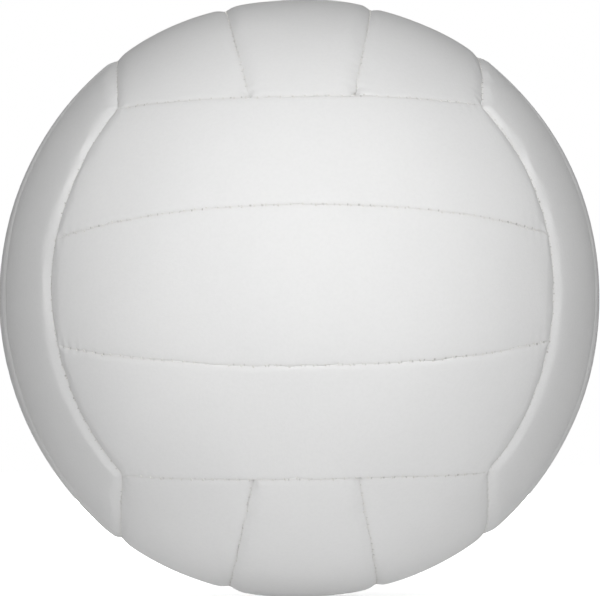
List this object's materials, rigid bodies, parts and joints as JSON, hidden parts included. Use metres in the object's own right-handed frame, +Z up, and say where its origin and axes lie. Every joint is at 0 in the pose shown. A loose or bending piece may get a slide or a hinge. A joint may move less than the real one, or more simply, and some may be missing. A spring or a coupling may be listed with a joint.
{
  "type": "volleyball",
  "caption": "White volleyball of stitched synthetic leather strips over foam backing, with a rubber bladder and needle valve inside.",
  "frame": {"origin": "the centre of the ball", "axes": "-Y out of the middle of the front face, whose strips lie level; +Y out along the valve; +Z up; +X to the right seen from the front"},
  "size_m": [0.21, 0.2099, 0.21],
  "materials": {
    "panel_leather": "satin white synthetic leather with a fine grain",
    "backing_foam": "matt foam laminated to lining cloth",
    "stitching_thread": "waxed flat thread",
    "bladder_rubber": "matt butyl rubber",
    "valve_rubber": "soft moulded rubber"
  },
  "bodies": {
    "root": {"back_left_edge_stitching": "stitching_thread", "back_lower_foam": "backing_foam", "back_lower_panel": "panel_leather", "back_middle_foam": "backing_foam", "back_middle_panel": "panel_leather", "back_right_edge_stitching": "stitching_thread", "back_strip_stitching": "stitching_thread", "back_upper_foam": "backing_foam", "back_upper_panel": "panel_leather", "bladder": "bladder_rubber", "bottom_back_edge_stitching": "stitching_thread", "bottom_front_edge_stitching": "stitching_thread", "bottom_left_foam": "backing_foam", "bottom_left_panel": "panel_leather", "bottom_middle_foam": "backing_foam", "bottom_middle_panel": "panel_leather", "bottom_right_foam": "backing_foam", "bottom_right_panel": "panel_leather", "bottom_strip_stitching": "stitching_thread", "front_left_edge_stitching": "stitching_thread", "front_lower_foam": "backing_foam", "front_lower_panel": "panel_leather", "front_middle_foam": "backing_foam", "front_middle_panel": "panel_leather", "front_right_edge_stitching": "stitching_thread", "front_strip_stitching": "stitching_thread", "front_upper_foam": "backing_foam", "front_upper_panel": "panel_leather", "left_bottom_edge_stitching": "stitching_thread", "left_front_foam": "backing_foam", "left_front_panel": "panel_leather", "left_middle_foam": "backing_foam", "left_middle_panel": "panel_leather", "left_rear_foam": "backing_foam", "left_rear_panel": "panel_leather", "left_strip_stitching": "stitching_thread", "left_top_edge_stitching": "stitching_thread", "right_bottom_edge_stitching": "stitching_thread", "right_front_foam": "backing_foam", "right_front_panel": "panel_leather", "right_middle_foam": "backing_foam", "right_middle_panel": "panel_leather", "right_rear_foam": "backing_foam", "right_rear_panel": "panel_leather", "right_strip_stitching": "stitching_thread", "right_top_edge_stitching": "stitching_thread", "top_back_edge_stitching": "stitching_thread", "top_front_edge_stitching": "stitching_thread", "top_left_foam": "backing_foam", "top_left_panel": "panel_leather", "top_middle_foam": "backing_foam", "top_middle_panel": "panel_leather", "top_right_foam": "backing_foam", "top_right_panel": "panel_leather", "top_strip_stitching": "stitching_thread", "valve_housing": "valve_rubber", "valve_plug": "valve_rubber"}
  },
  "joints": []
}
